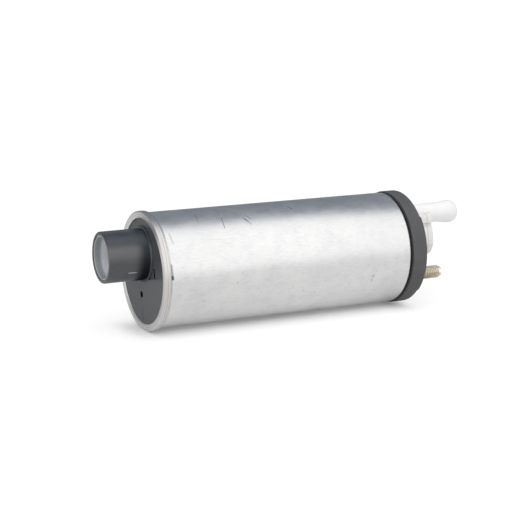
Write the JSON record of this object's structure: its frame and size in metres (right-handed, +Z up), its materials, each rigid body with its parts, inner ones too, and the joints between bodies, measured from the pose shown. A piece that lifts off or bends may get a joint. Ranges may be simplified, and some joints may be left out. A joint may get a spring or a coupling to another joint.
{
  "type": "electric fuel pump",
  "caption": "Electric fuel pump: aluminium tube with a dark inlet cover and wide inlet pipe, a rubber ring, and a white outlet cover with a hose nipple and threaded terminal studs.",
  "frame": {"origin": "on the pump's axis at the middle of the aluminium tube", "axes": "+X along the pump from inlet to outlet, +Z up as it lies, +Y away from the viewer's side; the pump's own upright is rolled 13 degrees about X, its top towards +Y"},
  "size_m": [0.1517, 0.0444, 0.0444],
  "materials": {
    "housing_tube": "satin, drawn",
    "inlet_cover": "fine matt moulding",
    "inlet_pipe": "fine matt moulding",
    "inlet_screen_frame": "natural nylon, slightly shiny",
    "inlet_screen_mesh": "woven nylon",
    "inlet_cover_seal": "matt",
    "outlet_cover_seal": "matt",
    "pump_inlet_plate": "sintered, lapped faces",
    "pump_cam_ring": "sintered, lapped faces",
    "outer_rotor": "sintered, lapped faces",
    "inner_rotor": "sintered, lapped faces",
    "rotor_pin": "ground",
    "pump_outlet_plate": "sintered, lapped faces",
    "locating_pins": "ground",
    "front_bush": "sintered, oily",
    "rear_bush": "sintered, oily",
    "drive_coupling": "moulded acetal",
    "armature_shaft": "ground",
    "armature_core": "stacked laminations",
    "core_insulators": "moulded",
    "armature_windings": "enamelled copper wire",
    "commutator_hub": "phenolic",
    "commutator_bars": "bright copper",
    "front_thrust_washer": "bearing plastic",
    "rear_thrust_washer": "bearing plastic",
    "flux_ring": "zinc plated",
    "magnet_upper": "ferrite, ground",
    "magnet_lower": "ferrite, ground",
    "magnet_clips": "spring strip",
    "brush_holder": "glass filled moulding",
    "brush_positive": "carbon",
    "brush_negative": "carbon",
    "brush_spring_positive": "ground",
    "brush_spring_negative": "ground",
    "brush_lead_positive": "bright copper",
    "brush_lead_negative": "bright copper",
    "outlet_cover": "natural nylon, slightly shiny",
    "outlet_turret": "natural nylon, slightly shiny",
    "outlet_nipple": "natural nylon, slightly shiny",
    "terminal_stud_positive": "yellow zinc plated thread",
    "terminal_stud_negative": "yellow zinc plated thread",
    "terminal_seals": "matt",
    "check_valve_seat": "turned",
    "check_valve_poppet": "moulded acetal",
    "check_valve_seal": "matt",
    "check_valve_spring": "ground",
    "relief_valve_seat": "turned",
    "relief_valve_ball": "ground",
    "relief_valve_spring": "ground",
    "rear_cushion_ring": "matt moulded rubber"
  },
  "bodies": {
    "pump_body": {"housing_tube": "housing_tube", "inlet_cover": "inlet_cover", "inlet_pipe": "inlet_pipe", "inlet_screen_frame": "inlet_screen_frame", "inlet_screen_mesh": "inlet_screen_mesh", "inlet_cover_seal": "inlet_cover_seal", "outlet_cover_seal": "outlet_cover_seal", "pump_inlet_plate": "pump_inlet_plate", "pump_cam_ring": "pump_cam_ring", "rotor_pin": "rotor_pin", "pump_outlet_plate": "pump_outlet_plate", "locating_pins": "locating_pins", "front_bush": "front_bush", "rear_bush": "rear_bush", "flux_ring": "flux_ring", "magnet_upper": "magnet_upper", "magnet_lower": "magnet_lower", "magnet_clips": "magnet_clips", "brush_holder": "brush_holder", "brush_spring_positive": "brush_spring_positive", "brush_spring_negative": "brush_spring_negative", "brush_lead_positive": "brush_lead_positive", "brush_lead_negative": "brush_lead_negative", "outlet_cover": "outlet_cover", "outlet_turret": "outlet_turret", "outlet_nipple": "outlet_nipple", "terminal_stud_positive": "terminal_stud_positive", "terminal_stud_negative": "terminal_stud_negative", "terminal_seals": "terminal_seals", "check_valve_seat": "check_valve_seat", "check_valve_spring": "check_valve_spring", "relief_valve_seat": "relief_valve_seat", "relief_valve_spring": "relief_valve_spring", "rear_cushion_ring": "rear_cushion_ring"},
    "armature": {"armature_shaft": "armature_shaft", "armature_core": "armature_core", "core_insulators": "core_insulators", "armature_windings": "armature_windings", "commutator_hub": "commutator_hub", "commutator_bars": "commutator_bars", "front_thrust_washer": "front_thrust_washer", "rear_thrust_washer": "rear_thrust_washer", "drive_coupling": "drive_coupling", "inner_rotor": "inner_rotor"},
    "ring_gear": {"outer_rotor": "outer_rotor"},
    "outlet_poppet": {"check_valve_poppet": "check_valve_poppet", "check_valve_seal": "check_valve_seal"},
    "relief_ball": {"relief_valve_ball": "relief_valve_ball"},
    "brush_block_positive": {"brush_positive": "brush_positive"},
    "brush_block_negative": {"brush_negative": "brush_negative"}
  },
  "joints": [
    {"name": "armature_spin", "type": "hinge", "parent": "pump_body", "child": "armature", "pos_m": [0, 0, 0], "axis": [1, 0, 0], "continuous": true},
    {"name": "outer_rotor_spin", "type": "hinge", "parent": "pump_body", "child": "ring_gear", "pos_m": [0, 0.00022, 0.00097], "axis": [1, 0, 0], "continuous": true},
    {"name": "check_valve_lift", "type": "slide", "parent": "pump_body", "child": "outlet_poppet", "axis": [1, 0, 0], "range_m": [0, 0.002], "stiffness_N_per_m": 120, "springref_m": -0.002, "deforming": ["check_valve_spring"]},
    {"name": "relief_valve_lift", "type": "slide", "parent": "pump_body", "child": "relief_ball", "axis": [-1, 0, 0], "range_m": [0, 0.001], "stiffness_N_per_m": 600, "springref_m": -0.002, "deforming": ["relief_valve_spring"]},
    {"name": "brush_positive_slide", "type": "slide", "parent": "pump_body", "child": "brush_block_positive", "axis": [0, -0.9744, 0.225], "range_m": [0, 0.002], "stiffness_N_per_m": 300, "springref_m": -0.002, "deforming": ["brush_spring_positive", "brush_lead_positive"]},
    {"name": "brush_negative_slide", "type": "slide", "parent": "pump_body", "child": "brush_block_negative", "axis": [0, 0.9744, -0.225], "range_m": [0, 0.002], "stiffness_N_per_m": 300, "springref_m": -0.002, "deforming": ["brush_spring_negative", "brush_lead_negative"]}
  ],
  "couplings": [
    {"joint": "outer_rotor_spin", "follows": "armature_spin", "ratio": 0.85714}
  ]
}
